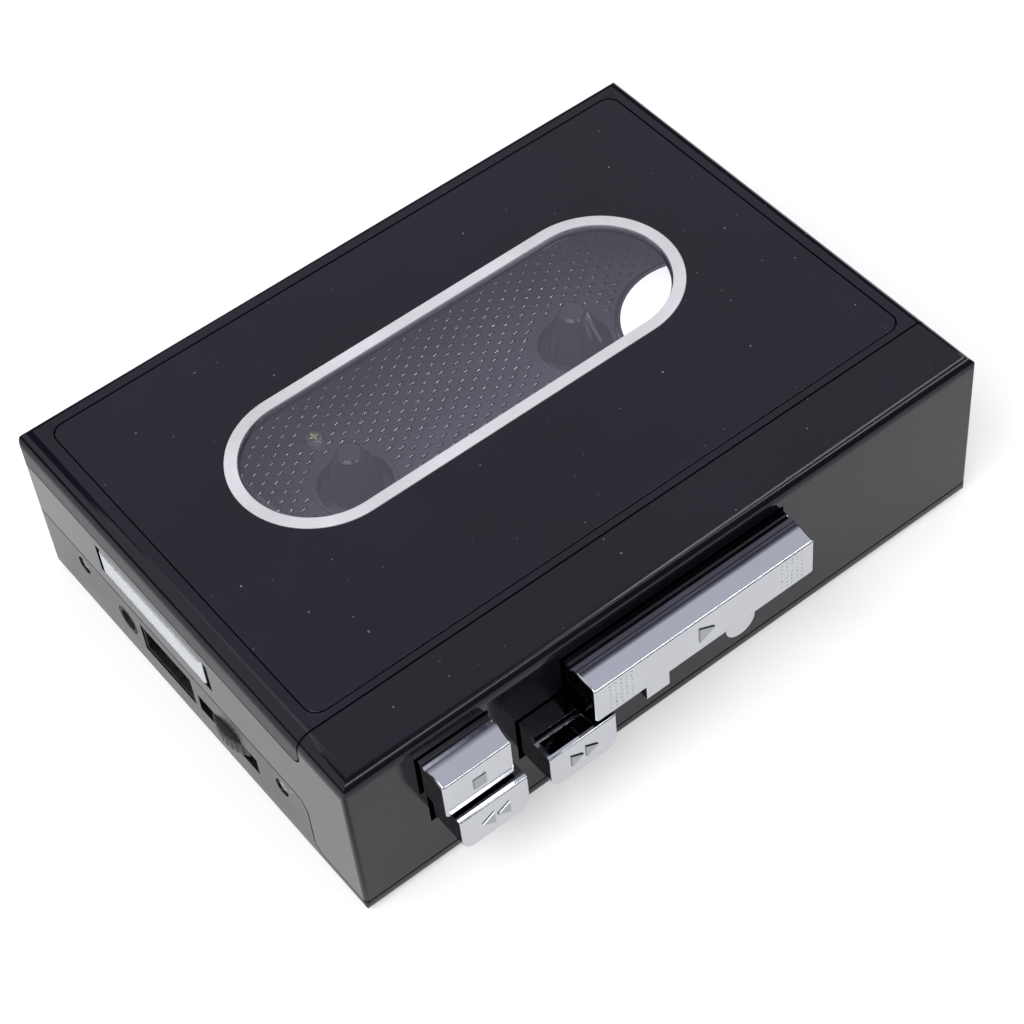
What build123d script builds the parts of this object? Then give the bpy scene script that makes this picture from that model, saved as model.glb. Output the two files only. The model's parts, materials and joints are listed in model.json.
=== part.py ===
"""Portable compact-cassette player with a USB socket, built as separate parts.

Frame: millimetres, +Z up. X runs along the key side, Y from the keys towards the back.
The origin is the centre of the flat bottom of the rear cover.
"""
import os
from math import acos, atan2, cos, degrees, sin, sqrt

from build123d import *

os.makedirs("parts", exist_ok=True)

# ---------------------------------------------------------------- driving dimensions
LENGTH, DEPTH, HEIGHT = 115.0, 83.0, 31.0
LEFT, RIGHT = -LENGTH / 2, LENGTH / 2
FRONT, BACK = -DEPTH / 2, DEPTH / 2
WALL = 1.8
CORNER, INNER_CORNER = 0.8, 0.5
LEFT_ROLL, RIGHT_ROLL, FRONT_ROLL, BACK_ROLL, BOTTOM_ROLL = 2.6, 2.2, 2.2, 1.6, 1.9
SEAM_GAP = 0.3

# seams between the three shells, seen from the side
REAR_SEAM_Z, REAR_SEAM_FRONT_Z, REAR_SEAM_Y = 14.1, 2.8, -29.5
DOOR_SEAM_Z, DOOR_SEAM_Y = 24.8, -30.8
SEAM_RADIUS = 2.3

# cassette bay
TAPE_X, HUB_Y, HUB_SPACING = 1.35, 9.9, 42.5
SUPPLY_X, TAKEUP_X = TAPE_X - HUB_SPACING / 2, TAPE_X + HUB_SPACING / 2
BAY_X0, BAY_X1, BAY_Y1 = -49.9, 52.9, 39.4
UPPER_Z = 16.6
DECK_Z0, DECK_Z1, DECK_Y0 = 16.7, 17.7, -11.2
FRONT_WALL_Y0, FRONT_WALL_Y1 = -31.9, DOOR_SEAM_Y - SEAM_GAP / 2

# lid
LID_UNDER_Z = 28.6
PANEL_X0, PANEL_X1, PANEL_Y0, PANEL_Y1 = -53.5, 54.2, -29.5, 38.7
PANEL_THICK, PANEL_GAP, PANEL_CORNER = 1.2, 0.22, 2.4
WINDOW_X, WINDOW_Y, WINDOW_HALF = 0.05, 8.1, 26.0
RING_OUTER, RING_INNER = 13.8, 11.8
HINGE_X, HINGE_Z = 54.5, 26.9
BARREL_R, BARREL_X0 = 3.0, 52.3
HINGE_LEDGE_Z = 23.6
LUG_Y0, LUG_Y1, LUG_R = 37.3, 41.0, 2.1
PIN_R, PIN_LENGTH = 0.8, 8.0

# key travel and faces
KEY_TRAVEL, KEY_GAP = 2.8, 0.4
UPPER_KEY_Z0, UPPER_KEY_Z1 = 19.5, 27.1
LOWER_KEY_Z0, LOWER_KEY_Z1 = 11.7, 18.8
STOP_X0, STOP_X1 = -45.7, -34.0
REW_X0, REW_X1 = -44.7, -33.1
FF_X0, FF_X1 = -29.2, -17.5
PLAY_X0, PLAY_X1 = -20.7, 19.3
STOP_FACE, PLAY_FACE, LOWER_FACE = -47.3, -48.5, -48.7
FF_STEM_Z1 = 20.2
UPPER_STEM_END, LOWER_STEM_END = -36.2, -39.2
BAR_Z0, BAR_Z1, BAR_WIDTH = 12.7, 13.7, 4.6
STOP_BAR_X, REW_BAR_X, FF_BAR_X, PLAY_BAR_X = -43.1, -35.9, -25.2, 11.0
SPRING_Y0, SPRING_Y1, SPRING_Z, SPRING_R, SPRING_WIRE = -25.0, -19.0, 13.2, 0.6, 0.12
RIVET_Y = (-30.0, -12.5)

# chassis and drive
CHASSIS_Z0, CHASSIS_Z1 = 14.0, 15.0
CHASSIS_X, CHASSIS_Y0, CHASSIS_Y1 = 53.0, -31.8, 23.4
CHASSIS_SCREWS = ((-50.8, -12.0), (-50.8, 14.0), (51.8, -12.0), (51.8, 14.0))
SHAFT_R, RUNNING = 1.0, 0.06
CAPSTAN_X, CAPSTAN_Y = 34.0, -18.4
FLYWHEEL_R, FLYWHEEL_Z0, FLYWHEEL_Z1 = 15.0, 9.7, 12.3
DRIVE_Z0, DRIVE_Z1 = 7.4, 9.4
PINION_R, SUPPLY_WHEEL_R, TAKEUP_WHEEL_R = 4.0, 9.0, 10.0
MOTOR_X, MOTOR_Y, MOTOR_R, MOTOR_Z0, MOTOR_Z1 = -8.0, -20.0, 12.0, 2.0, 9.2
PULLEY_R, GROOVE_DEPTH, BELT_Z = 3.0, 0.9, 11.0
IDLER_X, IDLER_Y, IDLER_R = 29.42, -7.02, 8.15

# head and pinch roller
HEAD_PLATE_Z0, HEAD_PLATE_Z1 = 15.1, 16.1
ARM_PIVOT = (25.5, -27.2)
ROLLER = (34.0, -25.7)
ROLLER_R, ROLLER_Z0, ROLLER_Z1 = 4.5, 18.4, 26.4

# left-hand side
LATCH_Y0, LATCH_Y1, LATCH_Z0, LATCH_Z1 = -5.6, 21.3, 17.3, 22.65
LATCH_PROUD = 0.15
POCKET_Y0, POCKET_Y1, POCKET_Z0, POCKET_Z1 = -7.1, 22.3, 17.05, 22.9
JACK_Y, JACK_Z, JACK_BORE_R = 17.9, 8.9, 1.8
USB_Y, USB_Z, USB_W, USB_H = 7.05, 9.0, 13.1, 5.7
WHEEL_X, WHEEL_Y, WHEEL_R, WHEEL_Z0, WHEEL_Z1 = -50.5, -8.7, 8.0, 6.9, 9.5
SIDE_SCREWS = ((29.5, 11.0), (-22.9, 10.7))
SCREW_HEAD_R, SCREW_SHANK_R = 1.4, 0.8
BOARD_X0, BOARD_X1, BOARD_Y0, BOARD_Y1, BOARD_Z0, BOARD_Z1 = -55.0, -32.0, -20.0, 21.5, 4.6, 6.1

# batteries: two AA cells end to end along the back
CELL_Y, CELL_Z, CELL_X = 31.8, 9.3, 52.0
CELL_WALL_Y0, CELL_WALL_Y1 = 23.6, 24.3
BATTERY_DOOR_X, BATTERY_DOOR_Y0, BATTERY_DOOR_Z = 49.8, 24.6, 1.6
DECK_SCREWS = ((-19.5, 21.2), (-45.0, -5.0), (10.0, -5.0), (48.5, 20.5))
LABEL_X, LABEL_Y, LABEL_R, LABEL_THICK = 40.5, 1.7, 12.0, 0.1


# ---------------------------------------------------------------- helpers
def block(x0, x1, y0, y1, z0, z1, mode=Mode.ADD):
    """A box between two corners."""
    with Locations(((x0 + x1) / 2, (y0 + y1) / 2, (z0 + z1) / 2)):
        Box(x1 - x0, y1 - y0, z1 - z0, mode=mode)


def rod_z(x, y, z0, z1, radius, mode=Mode.ADD):
    """An upright round bar."""
    with Locations((x, y, (z0 + z1) / 2)):
        Cylinder(radius, z1 - z0, mode=mode)


def rod_x(x0, x1, y, z, radius, mode=Mode.ADD):
    """A round bar along X."""
    with Locations(((x0 + x1) / 2, y, z)):
        Cylinder(radius, x1 - x0, rotation=(0, 90, 0), mode=mode)


def rod_y(x, y0, y1, z, radius, mode=Mode.ADD):
    """A round bar along Y."""
    with Locations((x, (y0 + y1) / 2, z)):
        Cylinder(radius, y1 - y0, rotation=(90, 0, 0), mode=mode)


def footprint(inset=0.0):
    """The case outline from above, pulled in by inset."""
    with BuildSketch() as plan:
        Rectangle(LENGTH - 2 * inset, DEPTH - 2 * inset)
        fillet(plan.vertices(), max(CORNER - inset, INNER_CORNER))
    return plan.sketch


def side_region(points, rounded):
    """A region in the YZ plane, with the vertices in rounded filleted by their radius."""
    with BuildSketch() as region:
        Polygon(*points, align=None)
        for (y, z), radius in rounded:
            fillet(region.vertices().sort_by_distance((y, z, 0))[0], radius)
    return region.sketch


def clip_to(region):
    """Keep only what lies in a side region, over the whole width."""
    with BuildSketch(Plane.YZ) as cut:
        add(region)
    extrude(cut.sketch, amount=LENGTH, both=True, mode=Mode.INTERSECT)


def stadium(radius):
    """The window outline: two half circles joined by straight runs."""
    with BuildSketch() as outline:
        with Locations((WINDOW_X, WINDOW_Y)):
            SlotCenterToCenter(2 * WINDOW_HALF, 2 * radius)
    return outline.sketch


def pan_screw_z(x, y, z_seat, length, head_r=1.3, shank_r=0.7):
    """A pan-head cross-recess screw, head up, seated at z_seat."""
    rod_z(x, y, z_seat, z_seat + 0.8, head_r)
    rod_z(x, y, z_seat - length, z_seat, shank_r)
    block(x - 0.75, x + 0.75, y - 0.16, y + 0.16, z_seat + 0.35, z_seat + 1.0, Mode.SUBTRACT)
    block(x - 0.16, x + 0.16, y - 0.75, y + 0.75, z_seat + 0.35, z_seat + 1.0, Mode.SUBTRACT)


def save(builder, label):
    """Label a finished piece and write its STEP file."""
    builder.part.label = label
    export_step(builder.part, f"parts/{label}.step")


# ---------------------------------------------------------------- outer envelope
def roll_edge(plane, side, up, radius, length):
    """Round one long edge of the block; the plane looks along the edge."""
    inward, down = (1 if side < 0 else -1), (1 if up <= 0 else -1)
    centre = (side + inward * radius, up + down * radius)
    with BuildSketch(plane) as waste:
        with Locations((centre[0] - inward * radius, centre[1] - down * radius)):
            Rectangle(2 * radius, 2 * radius)
        with Locations(centre):
            Circle(radius, mode=Mode.SUBTRACT)
    extrude(waste.sketch, amount=length, both=True, mode=Mode.SUBTRACT)


with BuildPart() as envelope:
    with BuildSketch():
        add(footprint())
    extrude(amount=HEIGHT)
    for side, up, radius in (
        (FRONT, HEIGHT, FRONT_ROLL),
        (BACK, HEIGHT, BACK_ROLL),
        (FRONT, 0, BOTTOM_ROLL),
        (BACK, 0, BOTTOM_ROLL),
    ):
        roll_edge(Plane.YZ, side, up, radius, LENGTH)
    for side, up, radius in (
        (LEFT, HEIGHT, LEFT_ROLL),
        (RIGHT, HEIGHT, RIGHT_ROLL),
        (LEFT, 0, BOTTOM_ROLL),
        (RIGHT, 0, BOTTOM_ROLL),
    ):
        roll_edge(Plane.XZ, side, up, radius, DEPTH)

HALF_GAP = SEAM_GAP / 2
FAR = 60.0
rear_corner_low = (REAR_SEAM_Y - HALF_GAP, REAR_SEAM_FRONT_Z + HALF_GAP)
rear_corner_high = (REAR_SEAM_Y - HALF_GAP, REAR_SEAM_Z + HALF_GAP)
lid_corner = (DOOR_SEAM_Y - HALF_GAP, DOOR_SEAM_Z - HALF_GAP)
main_region = side_region(
    [
        (-FAR, rear_corner_low[1]),
        rear_corner_low,
        rear_corner_high,
        (FAR, rear_corner_high[1]),
        (FAR, lid_corner[1]),
        lid_corner,
        (lid_corner[0], FAR),
        (-FAR, FAR),
    ],
    [
        (rear_corner_low, SEAM_RADIUS),
        (rear_corner_high, SEAM_RADIUS + SEAM_GAP),
        (lid_corner, SEAM_RADIUS + SEAM_GAP),
    ],
)
cover_corner_low = (REAR_SEAM_Y + HALF_GAP, REAR_SEAM_FRONT_Z - HALF_GAP)
cover_corner_high = (REAR_SEAM_Y + HALF_GAP, REAR_SEAM_Z - HALF_GAP)
cover_region = side_region(
    [
        (-FAR, cover_corner_low[1]),
        cover_corner_low,
        cover_corner_high,
        (FAR, cover_corner_high[1]),
        (FAR, -FAR),
        (-FAR, -FAR),
    ],
    [(cover_corner_low, SEAM_RADIUS + SEAM_GAP), (cover_corner_high, SEAM_RADIUS)],
)
door_corner = (DOOR_SEAM_Y + HALF_GAP, DOOR_SEAM_Z + HALF_GAP)
door_region = side_region(
    [door_corner, (FAR, door_corner[1]), (FAR, FAR), (door_corner[0], FAR)],
    [(door_corner, SEAM_RADIUS)],
)

# ---------------------------------------------------------------- main case
INNER_WALL_X = -51.7
STRIP_ROOF_Z = 29.2
LATCH_POCKET_DEPTH = 1.1

with BuildPart() as main_case:
    add(envelope.part)
    clip_to(main_region)
    # room for the mechanism below the bay
    with BuildSketch(Plane.XY.offset(-1)):
        add(footprint(WALL))
    extrude(amount=UPPER_Z + 1, mode=Mode.SUBTRACT)
    # the bay, the hollow beside it for the latch and the hollow behind the keys
    block(BAY_X0, BAY_X1, FRONT_WALL_Y1, BAY_Y1, UPPER_Z - 1, HEIGHT, Mode.SUBTRACT)
    block(LEFT + WALL, INNER_WALL_X, 1.5, 21.6, UPPER_Z - 1, 23.7, Mode.SUBTRACT)
    block(LEFT + WALL, INNER_WALL_X, -19.0, 0.3, UPPER_Z - 1, 23.2, Mode.SUBTRACT)
    block(LEFT + WALL, RIGHT - WALL, FRONT + WALL, FRONT_WALL_Y0, UPPER_Z - 1, STRIP_ROOF_Z, Mode.SUBTRACT)
    # hinge side: a level ledge under the lid's rolled edge
    block(BAY_X1 - 1, RIGHT + 1, FRONT_WALL_Y1, BACK + 1, HINGE_LEDGE_Z, HEIGHT, Mode.SUBTRACT)
    # bay front wall with an alcove for the tape head
    block(LEFT + WALL, RIGHT - WALL, FRONT_WALL_Y0, FRONT_WALL_Y1, 15.2, UPPER_Z)
    block(-7.2, 9.9, FRONT_WALL_Y0 - 1, FRONT_WALL_Y1 + 1, 15.0, 28.2, Mode.SUBTRACT)
    # rear hinge lug and front hinge boss, both bored for the pins
    block(HINGE_X - 1.9, HINGE_X + 1.9, LUG_Y0, LUG_Y1, HINGE_LEDGE_Z - 0.5, HINGE_Z)
    rod_y(HINGE_X, LUG_Y0, LUG_Y1, HINGE_Z, LUG_R)
    rod_y(HINGE_X, FRONT_WALL_Y0 - 3.5, FRONT_WALL_Y0 + 0.5, HINGE_Z, 2.3)
    rod_y(HINGE_X, FRONT_WALL_Y1 - 4.0, FRONT_WALL_Y1 + 0.5, HINGE_Z, PIN_R, Mode.SUBTRACT)
    rod_y(HINGE_X, LUG_Y0 - 0.5, LUG_Y0 + 3.3, HINGE_Z, PIN_R, Mode.SUBTRACT)
    # slot for the lid's catch, through the ledge over the latch
    block(-55.5, -53.1, 2.4, 8.6, 23.0, 25.5, Mode.SUBTRACT)
    # latch pocket in the left side and the slot for the slider's stem
    block(LEFT - 1, LEFT + LATCH_POCKET_DEPTH, POCKET_Y0, POCKET_Y1, POCKET_Z0, POCKET_Z1, Mode.SUBTRACT)
    block(LEFT, LEFT + WALL + 0.5, 8.6, 16.0, 19.4, 22.2, Mode.SUBTRACT)
    # lugs that carry the chassis, and tabs that take the side screws
    for y in (-12.0, 14.0):
        block(INNER_WALL_X, BAY_X0, y - 3, y + 3, CHASSIS_Z1, UPPER_Z)
        block(50.6, 55.7, y - 3, y + 3, CHASSIS_Z1, UPPER_Z)
    for side in (-1, 1):
        for y, z in SIDE_SCREWS:
            inner, outer = side * 53.4, side * 55.6
            block(min(inner, outer), max(inner, outer), y - 3, y + 3, z - 2.4, UPPER_Z)
            rod_x(min(side * 50, side * 56), max(side * 50, side * 56), y, z, SCREW_SHANK_R, Mode.SUBTRACT)
    # lugs drilled for the chassis screws
    for x, y in CHASSIS_SCREWS:
        rod_z(x, y, CHASSIS_Z1 - 1, UPPER_Z - 0.3, 0.6, Mode.SUBTRACT)
    # openings for the key stems
    for x0, x1, z0, z1 in (
        (STOP_X0, STOP_X1, UPPER_KEY_Z0, UPPER_KEY_Z1),
        (PLAY_X0, PLAY_X1, UPPER_KEY_Z0, UPPER_KEY_Z1),
        (REW_X0, REW_X1, LOWER_KEY_Z0, LOWER_KEY_Z1),
        (FF_X0, FF_X1, LOWER_KEY_Z0, LOWER_KEY_Z1),
        (FF_X0, -21.3, LOWER_KEY_Z1, FF_STEM_Z1),
    ):
        block(x0 - KEY_GAP, x1 + KEY_GAP, FRONT - 1, FRONT + WALL + 1, z0 - KEY_GAP, z1 + KEY_GAP, Mode.SUBTRACT)
save(main_case, "main_case")

# ---------------------------------------------------------------- rear cover
TONGUE_X, TONGUE_Z0, TONGUE_Z1 = 50.8, 0.7, 1.2

with BuildPart() as rear_cover:
    add(envelope.part)
    clip_to(cover_region)
    with BuildSketch(Plane.XY.offset(WALL)):
        add(footprint(WALL))
    extrude(amount=HEIGHT, mode=Mode.SUBTRACT)
    # battery compartment: a long wall and two end walls
    block(-CELL_X - 0.8, CELL_X + 0.8, CELL_WALL_Y0, CELL_WALL_Y1, WALL - 0.2, UPPER_Z - 0.1)
    for side in (-1, 1):
        x0, x1 = sorted((side * CELL_X, side * (CELL_X + 0.8)))
        block(x0, x1, CELL_WALL_Y0, BACK - WALL + 0.2, WALL - 0.2, 13.0)
    # opening for the battery door, with a groove along each end
    block(-BATTERY_DOOR_X - 0.2, BATTERY_DOOR_X + 0.2, BATTERY_DOOR_Y0 - 0.2, BACK + 1, -1, WALL, Mode.SUBTRACT)
    block(-TONGUE_X - 0.2, TONGUE_X + 0.2, 26.0, BACK + 1, TONGUE_Z0 - 0.2, TONGUE_Z1 + 0.2, Mode.SUBTRACT)
    # seats for the motor, the idler stud and the foot of the capstan
    rod_z(MOTOR_X, MOTOR_Y, WALL - 0.2, 4.0, MOTOR_R + 1.6)
    rod_z(MOTOR_X, MOTOR_Y, WALL, 4.5, MOTOR_R + 0.05, Mode.SUBTRACT)
    rod_z(IDLER_X, IDLER_Y, WALL - 0.2, 6.8, 2.4)
    rod_z(IDLER_X, IDLER_Y, 3.0, 7.0, SHAFT_R, Mode.SUBTRACT)
    rod_z(CAPSTAN_X, CAPSTAN_Y, WALL - 0.2, 5.2, 2.6)
    rod_z(CAPSTAN_X, CAPSTAN_Y, 3.0, 5.5, SHAFT_R + RUNNING, Mode.SUBTRACT)
    for x in (SUPPLY_X, TAKEUP_X):
        rod_z(x, HUB_Y, WALL - 0.2, 5.2, 2.6)
        rod_z(x, HUB_Y, 3.0, 5.5, SHAFT_R + RUNNING, Mode.SUBTRACT)
    # posts under the circuit board
    for x, y in ((-50.0, -17.5), (-34.5, -17.5), (-34.5, 18.5)):
        rod_z(x, y, WALL - 0.2, BOARD_Z0, 1.8)
    # ports and screw holes in the left and right walls
    rod_x(LEFT - 1, LEFT + WALL + 0.2, JACK_Y, JACK_Z, 2.5, Mode.SUBTRACT)
    block(LEFT - 1, LEFT + WALL + 0.2, USB_Y - USB_W / 2 - 0.2, USB_Y + USB_W / 2 + 0.2,
          USB_Z - USB_H / 2 - 0.2, USB_Z + USB_H / 2 + 0.2, Mode.SUBTRACT)
    block(LEFT - 1, LEFT + WALL + 0.2, WHEEL_Y - 7.6, WHEEL_Y + 7.6, 6.4, 10.0, Mode.SUBTRACT)
    for side in (-1, 1):
        for y, z in SIDE_SCREWS:
            x0, x1 = sorted((side * (RIGHT + 1), side * (RIGHT - 1.2)))
            rod_x(x0, x1, y, z, SCREW_HEAD_R + 0.15, Mode.SUBTRACT)
            x0, x1 = sorted((side * (RIGHT + 1), side * 55.0))
            rod_x(x0, x1, y, z, SCREW_SHANK_R + 0.1, Mode.SUBTRACT)
save(rear_cover, "rear_cover")

with BuildPart() as battery_door:
    add(envelope.part)
    with Locations((0, (BATTERY_DOOR_Y0 + BACK + 1) / 2, (BATTERY_DOOR_Z - 1) / 2)):
        Box(2 * BATTERY_DOOR_X, BACK + 1 - BATTERY_DOOR_Y0, BATTERY_DOOR_Z + 1, mode=Mode.INTERSECT)
    block(-TONGUE_X, TONGUE_X, 26.4, 39.0, TONGUE_Z0, TONGUE_Z1)
    for step in range(7):
        y = 27.0 + 1.2 * step
        block(-8, 8, y, y + 0.5, -0.5, 0.35, Mode.SUBTRACT)
save(battery_door, "battery_door")

# ---------------------------------------------------------------- lid
with BuildPart() as door_frame:
    add(envelope.part)
    clip_to(door_region)
    # hollow underneath, leaving the skirts, and the rolled hinge edge
    block(LEFT + 1.6, BARREL_X0, -60, BACK - 1.6, 20, LID_UNDER_Z, Mode.SUBTRACT)
    block(BARREL_X0, RIGHT + 1, -60, 60, 20, HINGE_Z, Mode.SUBTRACT)
    rod_y(HINGE_X, door_corner[0], BACK - 2.0, HINGE_Z, BARREL_R)
    block(BARREL_X0 - 3, BARREL_X0, -60, BACK - 1.6, 20, LID_UNDER_Z, Mode.SUBTRACT)
    # notch round the rear hinge lug
    block(HINGE_X - 2.6, RIGHT + 1, LUG_Y0 - 0.4, BACK + 1, 20, LID_UNDER_Z + 0.75, Mode.SUBTRACT)
    # seat for the panel and the window opening
    with BuildSketch(Plane.XY.offset(HEIGHT - PANEL_THICK)) as panel_seat:
        with Locations(((PANEL_X0 + PANEL_X1) / 2, (PANEL_Y0 + PANEL_Y1) / 2)):
            RectangleRounded(PANEL_X1 - PANEL_X0, PANEL_Y1 - PANEL_Y0, PANEL_CORNER)
    extrude(amount=PANEL_THICK + 1, mode=Mode.SUBTRACT)
    with BuildSketch(Plane.XY.offset(LID_UNDER_Z - 1)):
        add(stadium(RING_INNER - 0.3))
    extrude(amount=5, mode=Mode.SUBTRACT)
    with BuildSketch(Plane.XY.offset(LID_UNDER_Z - 1)):
        add(stadium(RING_INNER + 1.5))
    extrude(amount=1.75, mode=Mode.SUBTRACT)
    # catch that reaches down to the latch, with a tooth on its back edge
    block(-54.9, -53.7, 3.0, 6.6, 20.8, LID_UNDER_Z + 0.2)
    block(-54.9, -53.9, 6.6, 8.0, 20.8, 21.6)
    # bores for the hinge pins
    rod_y(HINGE_X, door_corner[0] - 1, door_corner[0] + 4.2, HINGE_Z, PIN_R + RUNNING, Mode.SUBTRACT)
    rod_y(HINGE_X, LUG_Y0 - 4.9, LUG_Y0 + 1, HINGE_Z, PIN_R + RUNNING, Mode.SUBTRACT)
save(door_frame, "door_frame")

with BuildPart() as door_panel:
    with BuildSketch(Plane.XY.offset(HEIGHT - PANEL_THICK)):
        with Locations(((PANEL_X0 + PANEL_X1) / 2, (PANEL_Y0 + PANEL_Y1) / 2)):
            RectangleRounded(
                PANEL_X1 - PANEL_X0 - 2 * PANEL_GAP,
                PANEL_Y1 - PANEL_Y0 - 2 * PANEL_GAP,
                PANEL_CORNER - PANEL_GAP,
            )
        add(stadium(RING_OUTER), mode=Mode.SUBTRACT)
    extrude(amount=PANEL_THICK)
    fillet(door_panel.edges().group_by(Axis.Z)[-1].filter_by_position(Axis.X, -60, 60), 0.12)
save(door_panel, "door_panel")

with BuildPart() as window_ring:
    with BuildSketch(Plane.XY.offset(HEIGHT - PANEL_THICK)):
        add(stadium(RING_OUTER - 0.02))
        add(stadium(RING_INNER), mode=Mode.SUBTRACT)
    extrude(amount=PANEL_THICK + 0.06)
    fillet(window_ring.edges().group_by(Axis.Z)[-1], 0.1)
save(window_ring, "window_ring")

with BuildPart() as window_lens:
    with BuildSketch(Plane.XY.offset(HEIGHT - PANEL_THICK)):
        add(stadium(RING_INNER - 0.02))
    extrude(amount=PANEL_THICK - 0.05)
save(window_lens, "window_lens")

SPRING_LEAVES = ((-24.0, 28.0), (26.0, 28.0))
with BuildPart() as tape_pressure_springs:
    for x, y in SPRING_LEAVES:
        with BuildSketch(Plane.XZ.offset(-y)):
            with BuildLine():
                low = ThreePointArc((x - 9, 28.35), (x, 27.4), (x + 9, 28.35))
                high = ThreePointArc((x - 9, 28.6), (x, 27.65), (x + 9, 28.6))
                Line(low @ 0, high @ 0)
                Line(low @ 1, high @ 1)
            make_face()
        extrude(amount=2.5, both=True)
save(tape_pressure_springs, "tape_pressure_springs")

with BuildPart() as hinge_pins:
    rod_y(HINGE_X, FRONT_WALL_Y1 - 4.0, FRONT_WALL_Y1 - 4.0 + PIN_LENGTH, HINGE_Z, PIN_R)
    rod_y(HINGE_X, LUG_Y0 + 3.3 - PIN_LENGTH, LUG_Y0 + 3.3, HINGE_Z, PIN_R)
save(hinge_pins, "hinge_pins")

# ---------------------------------------------------------------- latch
with BuildPart() as latch_slider:
    block(LEFT - LATCH_PROUD, LEFT + LATCH_POCKET_DEPTH - 0.15, LATCH_Y0, LATCH_Y1, LATCH_Z0, LATCH_Z1)
    chamfer(latch_slider.faces().sort_by(Axis.X)[0].edges(), 0.3)
    for step in range(44):
        y = LATCH_Y0 + 0.9 + 0.58 * step
        for z in (LATCH_Z0 + 0.45, LATCH_Z1 - 1.25):
            block(LEFT - 1, LEFT - LATCH_PROUD + 0.12, y, y + 0.28, z, z + 0.8, Mode.SUBTRACT)
    block(LEFT + 0.5, -55.0, 10.2, 15.0, 19.8, 21.8)
save(latch_slider, "latch_slider")

with BuildPart() as latch_hook:
    block(-55.0, -54.0, 5.0, 15.2, 18.6, 20.4)
    block(-55.0, -54.0, 9.6, 15.2, 20.4, 22.6)
    block(-55.0, -54.0, 8.2, 9.6, 21.8, 22.6)
save(latch_hook, "latch_hook")


def coil_y(radius, wire, pitch, length, start):
    """A helical wire running towards +Y from start."""
    with BuildPart() as spring:
        with BuildLine():
            path = Helix(pitch=pitch, height=length, radius=radius)
        with BuildSketch(Plane(origin=path @ 0, z_dir=path % 0)):
            Circle(wire)
        sweep(path=path, is_frenet=True)
    return Pos(*start) * Rot(-90, 0, 0) * spring.part


with BuildPart() as latch_spring:
    add(coil_y(0.8, 0.13, 0.8, 4.3, (-54.4, 17.0, 19.5)))
save(latch_spring, "latch_spring")

# ---------------------------------------------------------------- bay deck and what sits on it
with BuildPart() as bay_deck:
    block(BAY_X0 + 0.1, BAY_X1 - 0.1, DECK_Y0, BAY_Y1 - 0.1, DECK_Z0, DECK_Z1)
    block(BAY_X0 + 0.1, BAY_X1 - 2.6, DECK_Y0, DECK_Y0 + 1.0, CHASSIS_Z1, DECK_Z0)
    for x in (SUPPLY_X, TAKEUP_X):
        rod_z(x, HUB_Y, DECK_Z0, DECK_Z1 + 0.3, 6.6)
        rod_z(x, HUB_Y, DECK_Z0 - 1, DECK_Z1 + 1, 5.9, Mode.SUBTRACT)
    for x, y in DECK_SCREWS:
        rod_z(x, y, CHASSIS_Z1, DECK_Z0, 1.7)
        rod_z(x, y, CHASSIS_Z0, DECK_Z1 + 1, 0.7, Mode.SUBTRACT)
save(bay_deck, "bay_deck")

with BuildPart() as deck_screws:
    for x, y in DECK_SCREWS:
        pan_screw_z(x, y, DECK_Z1, 3.5)
save(deck_screws, "deck_screws")

with BuildPart() as bay_label:
    rod_z(LABEL_X, LABEL_Y, DECK_Z1, DECK_Z1 + LABEL_THICK, LABEL_R)
save(bay_label, "bay_label")

# ---------------------------------------------------------------- chassis
KEY_BARS = (STOP_BAR_X, REW_BAR_X, FF_BAR_X, PLAY_BAR_X)
LINK_Y, LINK_R = -17.0, 0.9
SHAFT_HOLES = ((SUPPLY_X, HUB_Y), (TAKEUP_X, HUB_Y), (CAPSTAN_X, CAPSTAN_Y))

with BuildPart() as chassis_plate:
    block(-CHASSIS_X, CHASSIS_X, CHASSIS_Y0, CHASSIS_Y1, CHASSIS_Z0, CHASSIS_Z1)
    fillet(chassis_plate.edges().filter_by(Axis.Z), 2.0)
    for x, y in SHAFT_HOLES:
        rod_z(x, y, CHASSIS_Z0 - 1, CHASSIS_Z1 + 1, SHAFT_R + RUNNING, Mode.SUBTRACT)
    for x, y in CHASSIS_SCREWS:
        rod_z(x, y, CHASSIS_Z0 - 1, CHASSIS_Z1 + 1, 0.65, Mode.SUBTRACT)
    for x, y in DECK_SCREWS:
        rod_z(x, y, CHASSIS_Z0 - 1, CHASSIS_Z1 + 1, 0.7, Mode.SUBTRACT)
    for x in KEY_BARS:
        for y in RIVET_Y:
            rod_z(x, y, CHASSIS_Z0 - 1, CHASSIS_Z1 + 1, 0.75, Mode.SUBTRACT)
        block(x - 1.0, x + 1.0, SPRING_Y1 + 0.1, SPRING_Y1 + 0.8, BAR_Z0 - 0.1, CHASSIS_Z0)
    # slot for the pin that joins the play bar to the head plate, and lightening holes
    block(PLAY_BAR_X - 1.2, PLAY_BAR_X + 1.2, LINK_Y - 1.2, LINK_Y + 1.2 + KEY_TRAVEL, 13, 16, Mode.SUBTRACT)
    for x in (-40.0, 0.0, 40.0):
        rod_z(x, 12.0, CHASSIS_Z0 - 1, CHASSIS_Z1 + 1, 6.0, Mode.SUBTRACT)
    rod_z(*ARM_PIVOT, CHASSIS_Z1, 18.6, 0.9)
save(chassis_plate, "chassis_plate")

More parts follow.
